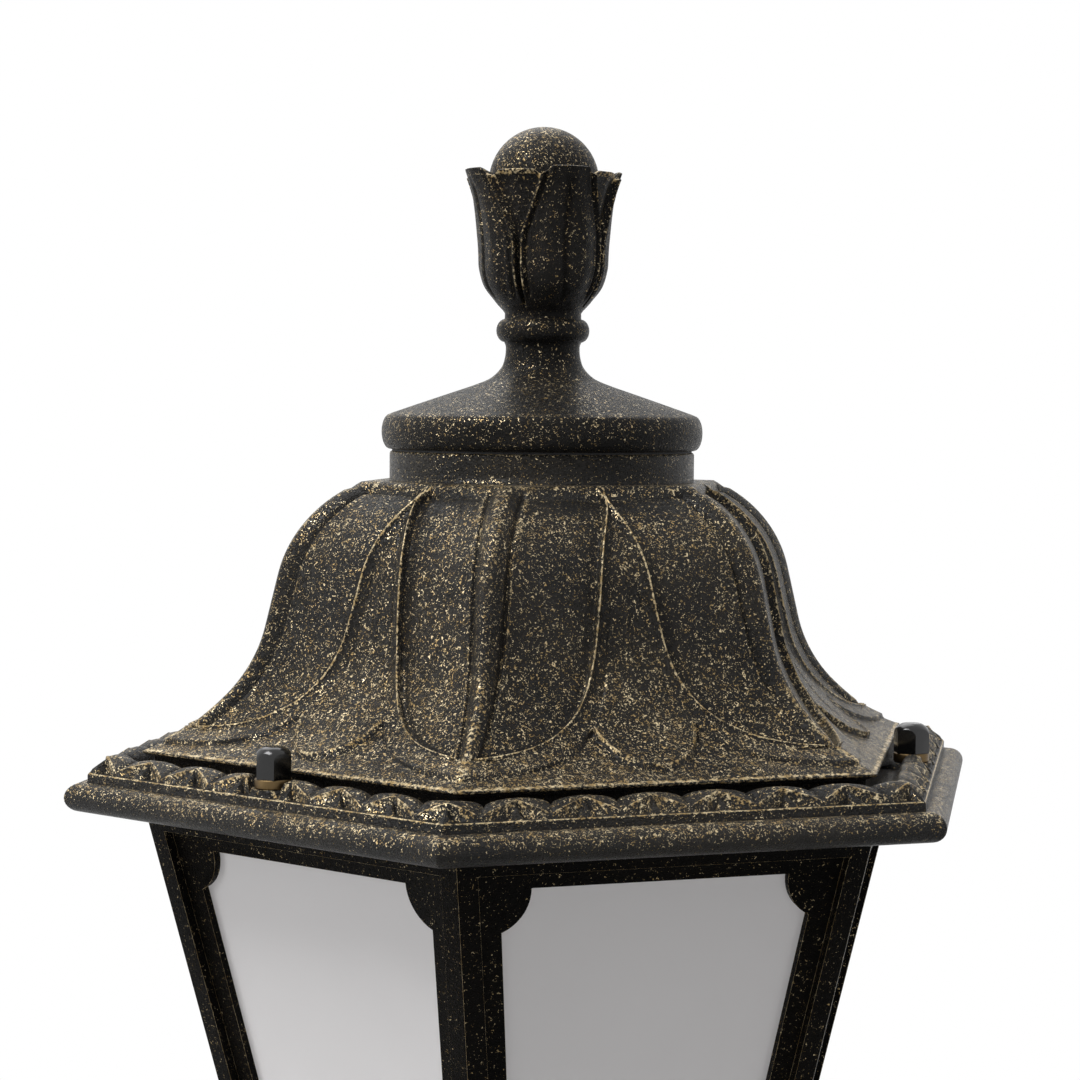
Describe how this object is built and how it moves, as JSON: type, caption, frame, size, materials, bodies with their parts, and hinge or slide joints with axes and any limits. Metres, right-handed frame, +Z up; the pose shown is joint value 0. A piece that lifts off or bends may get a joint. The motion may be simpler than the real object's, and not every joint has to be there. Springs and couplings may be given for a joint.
{
  "type": "victorian street lantern",
  "caption": "Six-sided post-top street lantern: cast bell roof with petals and leaf border, tulip finial, tapered cage with opal panes, and a socket for a post.",
  "frame": {"origin": "centre of the post socket's mouth, at the bottom of the lantern", "axes": "+Z up along the post; a corner of the six-sided head faces -Y and a flat side with a stud faces +X"},
  "size_m": [0.3464, 0.4, 0.6808],
  "materials": {
    "roof_casting": "wrinkled grey-brown lacquer with bronze flecks and worn gold edges",
    "cage_casting": "wrinkled charcoal lacquer with few bronze flecks",
    "opal_pane": "smooth opal sheet, milk white",
    "black_nut": "gloss black",
    "bronze_ferrule": "dull bronze",
    "zinc_steel": "zinc plated",
    "rubber_seal": "matte black",
    "frosted_lamp": "frosted white",
    "holder_ceramic": "glazed white",
    "terminal_plastic": "off-white moulding",
    "brass_fittings": "turned brass"
  },
  "bodies": {
    "cage": {"cage": "cage_casting", "roof_gasket": "rubber_seal", "roof_stud_1": "zinc_steel", "roof_stud_2": "zinc_steel", "roof_stud_3": "zinc_steel", "pane_1": "opal_pane", "pane_2": "opal_pane", "pane_3": "opal_pane", "pane_4": "opal_pane", "pane_5": "opal_pane", "pane_6": "opal_pane", "pane_clip_1": "zinc_steel", "pane_clip_2": "zinc_steel", "pane_clip_3": "zinc_steel", "pane_clip_4": "zinc_steel", "pane_clip_5": "zinc_steel", "pane_clip_6": "zinc_steel", "pane_clip_screws": "zinc_steel", "lamp_bracket": "zinc_steel", "bracket_screws": "zinc_steel", "lampholder": "holder_ceramic", "lampholder_nipple": "brass_fittings", "nipple_nut": "brass_fittings", "lamp": "frosted_lamp", "terminal_block": "terminal_plastic", "terminal_screws": "brass_fittings", "post_cup": "cage_casting", "cup_screws": "zinc_steel", "post_screw_1": "zinc_steel", "post_screw_2": "zinc_steel", "post_screw_3": "zinc_steel", "cable_grommet": "rubber_seal"},
    "roof": {"roof": "roof_casting", "finial_cap": "roof_casting", "cap_gasket": "rubber_seal", "finial_rod": "zinc_steel", "rod_washer": "zinc_steel", "rod_nut": "zinc_steel", "nut_washer_1": "bronze_ferrule", "nut_washer_2": "bronze_ferrule", "nut_washer_3": "bronze_ferrule"},
    "nut_1": {"cap_nut_1": "black_nut"},
    "nut_2": {"cap_nut_2": "black_nut"},
    "nut_3": {"cap_nut_3": "black_nut"}
  },
  "joints": [
    {"name": "roof_lift", "type": "slide", "parent": "cage", "child": "roof", "axis": [0, 0, 1], "range_m": [0, 0.06]},
    {"name": "nut_1_turn", "type": "hinge", "parent": "roof", "child": "nut_1", "pos_m": [0.1549, 0, 0.4247], "axis": [0, 0, 1], "continuous": true},
    {"name": "nut_2_turn", "type": "hinge", "parent": "roof", "child": "nut_2", "pos_m": [-0.07745, 0.13415, 0.4247], "axis": [0, 0, 1], "continuous": true},
    {"name": "nut_3_turn", "type": "hinge", "parent": "roof", "child": "nut_3", "pos_m": [-0.07745, -0.13415, 0.4247], "axis": [0, 0, 1], "continuous": true}
  ]
}
